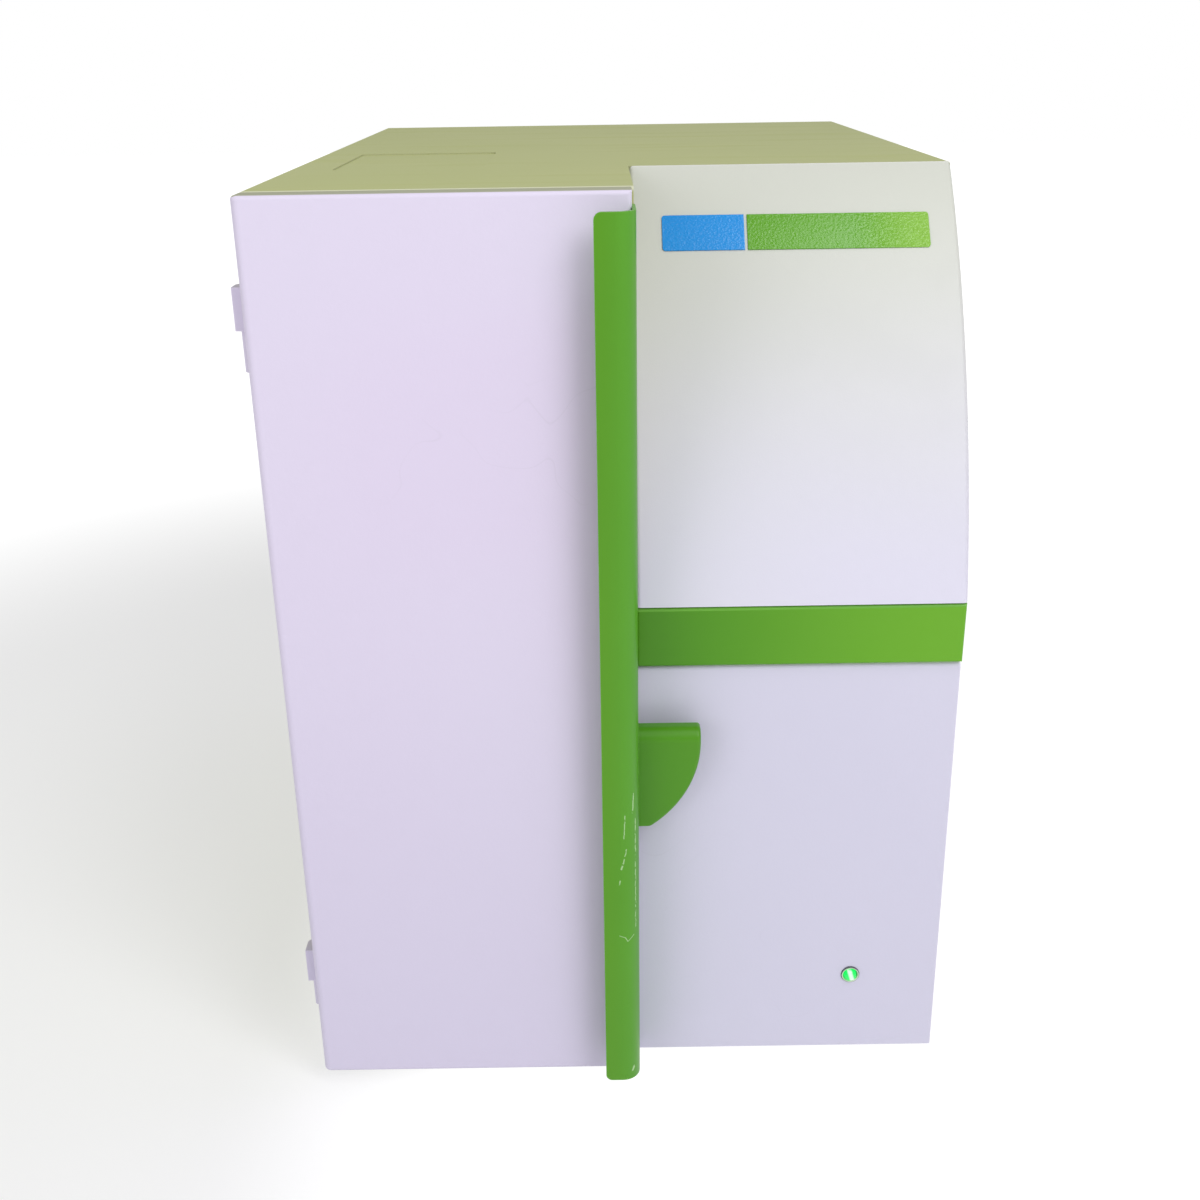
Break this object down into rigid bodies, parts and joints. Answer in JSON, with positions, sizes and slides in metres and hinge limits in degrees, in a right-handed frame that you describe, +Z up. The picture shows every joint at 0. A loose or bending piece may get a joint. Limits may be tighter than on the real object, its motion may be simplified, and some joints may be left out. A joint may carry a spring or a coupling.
{
  "type": "microplate counter",
  "caption": "Bench counter for microplates: full-height hinged door with a green pull bar, curved front cover with a coloured band, plate magazine and lift, and a shielded counting chamber.",
  "frame": {"origin": "on the bench, below the middle of the whole object's bounding box", "axes": "+X to the right as seen from the front, +Y from the door to the rear panel, +Z up"},
  "size_m": [0.4524, 0.674, 0.625],
  "materials": {
    "door_paint": "satin",
    "cabinet_paint": "satin",
    "cover_paint": "satin",
    "cover_plastic": "satin",
    "green_paint": "gloss",
    "green_plastic": "gloss",
    "blue_plate": "gloss",
    "green_plate": "gloss",
    "green_lens": "gloss",
    "white_plastic": "satin",
    "black_plastic": "satin",
    "black_paint": "satin",
    "shield_paint": "satin",
    "board": "satin",
    "zinc": "satin",
    "steel": "polished",
    "chrome": "polished",
    "aluminium": "satin",
    "brass": "satin",
    "rubber": "matte"
  },
  "bodies": {
    "cabinet": {"badge_plate_long": "green_plate", "badge_plate_short": "blue_plate", "base_tray": "cabinet_paint", "bay_divider": "zinc", "bay_floor": "zinc", "button_bezel": "chrome", "catch_magnet": "black_plastic", "control_board": "board", "curved_cover": "cover_plastic", "data_port": "steel", "door_frame": "cabinet_paint", "door_seal": "rubber", "drive_belt": "rubber", "fan_frame": "black_plastic", "fan_guard": "chrome", "foot_screws": "zinc", "guide_rods": "steel", "hinge_pins": "steel", "hinge_posts": "door_paint", "inlet_pins": "brass", "left_side_panel": "cabinet_paint", "lift_head_plate": "aluminium", "lift_motor": "black_paint", "light_tubes": "black_plastic", "lower_front_panel": "cover_paint", "magazine_frame": "aluminium", "mains_inlet": "black_plastic", "panel_screws": "zinc", "power_supply": "zinc", "rear_panel": "cabinet_paint", "right_side_panel": "cabinet_paint", "roof_panel": "cabinet_paint", "rubber_feet": "rubber", "screw_bearings": "brass", "shelf_ledges": "aluminium", "shield_collar": "shield_paint", "shield_lower_block": "shield_paint", "shield_upper_block": "shield_paint", "stage_rails": "steel", "trim_band": "green_plastic"},
    "door": {"door_skin": "door_paint", "door_liner": "door_paint", "pull_bar": "green_paint", "finger_grip": "green_plastic", "hinge_door_leaves": "door_paint", "catch_strike": "zinc", "pull_bar_screws": "zinc"},
    "button": {"button_lens": "green_lens"},
    "rocker": {"power_rocker": "black_plastic"},
    "fan": {"fan_rotor": "black_plastic"},
    "lift": {"lift_carriage": "aluminium", "guide_bushes": "brass", "lift_nut": "brass", "fork_guides": "white_plastic"},
    "fork": {"pickup_fork": "steel"},
    "screw": {"lead_screw": "steel", "screw_pulley": "aluminium"},
    "motor": {"motor_pulley": "aluminium"},
    "stage": {"counting_stage": "aluminium"}
  },
  "joints": [
    {"name": "door_hinge", "type": "hinge", "parent": "cabinet", "child": "door", "pos_m": [-0.22195, -0.284, 0.32], "axis": [0, 0, -1], "range_deg": [0, 120]},
    {"name": "button_press", "type": "slide", "parent": "cabinet", "child": "button", "axis": [0, 1, 0], "range_m": [0, 0.002], "stiffness_N_per_m": 400},
    {"name": "rocker_tilt", "type": "hinge", "parent": "cabinet", "child": "rocker", "pos_m": [0.17005, 0.328, 0.0904], "axis": [1, 0, 0], "range_deg": [0, 18]},
    {"name": "fan_spin", "type": "hinge", "parent": "cabinet", "child": "fan", "pos_m": [0.11405, 0.319, 0.454], "axis": [0, 1, 0], "continuous": true},
    {"name": "lift_slide", "type": "slide", "parent": "cabinet", "child": "lift", "axis": [0, 0, 1], "range_m": [0, 0.445]},
    {"name": "screw_spin", "type": "hinge", "parent": "cabinet", "child": "screw", "pos_m": [-0.1044, -0.033, 0.06], "axis": [0, 0, -1], "range_deg": [0, 8100]},
    {"name": "motor_spin", "type": "hinge", "parent": "cabinet", "child": "motor", "pos_m": [-0.0494, -0.033, 0.06], "axis": [0, 0, -1], "range_deg": [0, 8100]},
    {"name": "fork_slide", "type": "slide", "parent": "lift", "child": "fork", "axis": [0, -1, 0], "range_m": [0, 0.07]},
    {"name": "stage_slide", "type": "slide", "parent": "cabinet", "child": "stage", "axis": [-1, 0, 0], "range_m": [0, 0.027]}
  ],
  "couplings": [
    {"joint": "screw_spin", "follows": "lift_slide", "rad_per_m": 314.16},
    {"joint": "motor_spin", "follows": "lift_slide", "rad_per_m": 314.16}
  ]
}
